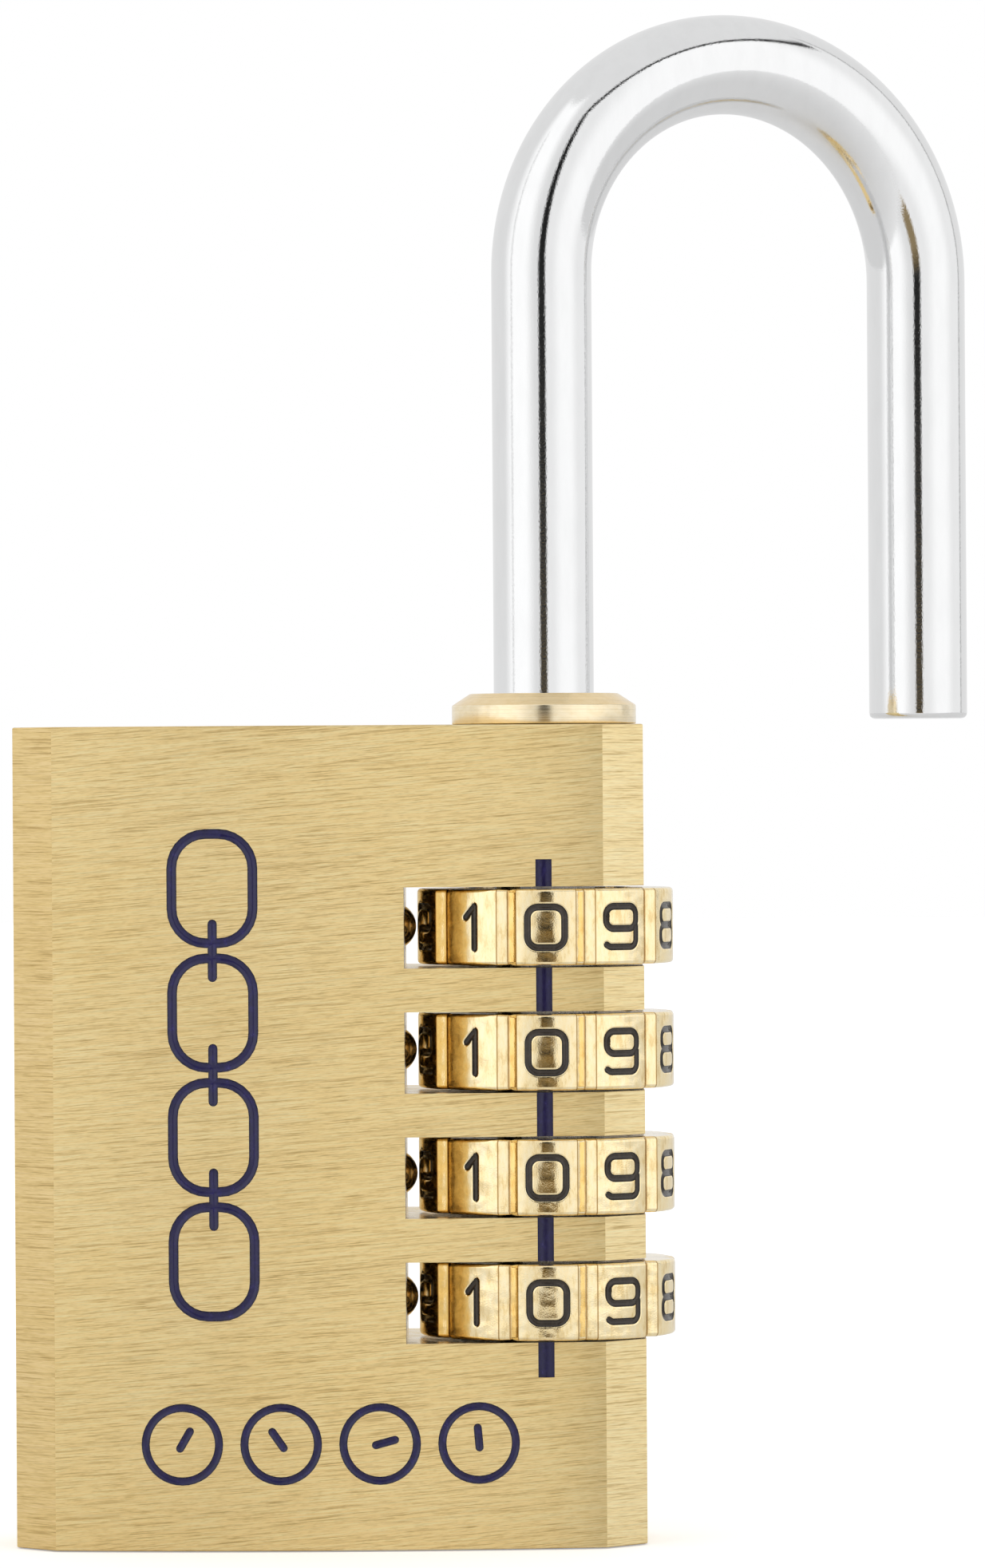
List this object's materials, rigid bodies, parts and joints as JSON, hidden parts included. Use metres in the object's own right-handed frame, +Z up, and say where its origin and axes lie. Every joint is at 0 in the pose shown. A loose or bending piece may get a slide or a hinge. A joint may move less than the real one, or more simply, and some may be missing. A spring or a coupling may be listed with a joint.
{
  "type": "combination padlock",
  "caption": "Brass combination padlock with number wheels in open side slots and a chromed swivel shackle, shown open with the shackle swung round to the back.",
  "frame": {"origin": "centre of the case's flat base face", "axes": "+X across the case towards its number wheels, +Y from the front face to the back, +Z up along the shackle's legs"},
  "size_m": [0.0769, 0.0298, 0.1223],
  "materials": {
    "case_brass": "brushed, fine grain across the faces",
    "wheel_brass": "polished, digits filled dark grey",
    "turned_brass": "turned, fine concentric tool marks",
    "chromed_rod": "mirror-polished chrome plate",
    "bright_steel": "ground and polished",
    "spring_wire": "drawn spring wire"
  },
  "bodies": {
    "root": {"lock_body": "case_brass", "shackle_bush": "turned_brass", "bottom_plug": "turned_brass", "shackle_spring": "spring_wire", "detent_spring_1": "spring_wire", "detent_spring_2": "spring_wire", "detent_spring_3": "spring_wire", "detent_spring_4": "spring_wire"},
    "spindle": {"locking_spindle": "bright_steel"},
    "shackle": {"shackle": "chromed_rod", "coupling_pin": "bright_steel"},
    "wheel_1": {"number_wheel_1": "wheel_brass", "code_ring_1": "turned_brass"},
    "wheel_2": {"number_wheel_2": "wheel_brass", "code_ring_2": "turned_brass"},
    "wheel_3": {"number_wheel_3": "wheel_brass", "code_ring_3": "turned_brass"},
    "wheel_4": {"number_wheel_4": "wheel_brass", "code_ring_4": "turned_brass"},
    "ball_1": {"detent_ball_1": "bright_steel"},
    "ball_2": {"detent_ball_2": "bright_steel"},
    "ball_3": {"detent_ball_3": "bright_steel"},
    "ball_4": {"detent_ball_4": "bright_steel"}
  },
  "joints": [
    {"name": "wheel_1_turn", "type": "hinge", "parent": "root", "child": "wheel_1", "pos_m": [0.0172, 0, 0.049], "axis": [0, 0, 1], "continuous": true},
    {"name": "wheel_2_turn", "type": "hinge", "parent": "root", "child": "wheel_2", "pos_m": [0.0172, 0, 0.03915], "axis": [0, 0, 1], "continuous": true},
    {"name": "wheel_3_turn", "type": "hinge", "parent": "root", "child": "wheel_3", "pos_m": [0.0172, 0, 0.0293], "axis": [0, 0, 1], "continuous": true},
    {"name": "wheel_4_turn", "type": "hinge", "parent": "root", "child": "wheel_4", "pos_m": [0.0172, 0, 0.01945], "axis": [0, 0, 1], "continuous": true},
    {"name": "shackle_lift", "type": "slide", "parent": "root", "child": "spindle", "axis": [0, 0, 1], "range_m": [-0.00985, 0], "stiffness_N_per_m": 300, "springref_m": 0.015, "deforming": ["shackle_spring"]},
    {"name": "shackle_swivel", "type": "hinge", "parent": "spindle", "child": "shackle", "pos_m": [0.0172, 0, 0.0608], "axis": [0, 0, 1], "range_deg": [-206.8, 153.2]},
    {"name": "detent_ball_1_slide", "type": "slide", "parent": "root", "child": "ball_1", "axis": [-1, 0, 0], "range_m": [0, 0.0006], "stiffness_N_per_m": 60, "springref_m": -0.0005, "deforming": ["detent_spring_1"]},
    {"name": "detent_ball_2_slide", "type": "slide", "parent": "root", "child": "ball_2", "axis": [-1, 0, 0], "range_m": [0, 0.0006], "stiffness_N_per_m": 60, "springref_m": -0.0005, "deforming": ["detent_spring_2"]},
    {"name": "detent_ball_3_slide", "type": "slide", "parent": "root", "child": "ball_3", "axis": [-1, 0, 0], "range_m": [0, 0.0006], "stiffness_N_per_m": 60, "springref_m": -0.0005, "deforming": ["detent_spring_3"]},
    {"name": "detent_ball_4_slide", "type": "slide", "parent": "root", "child": "ball_4", "axis": [-1, 0, 0], "range_m": [0, 0.0006], "stiffness_N_per_m": 60, "springref_m": -0.0005, "deforming": ["detent_spring_4"]}
  ]
}
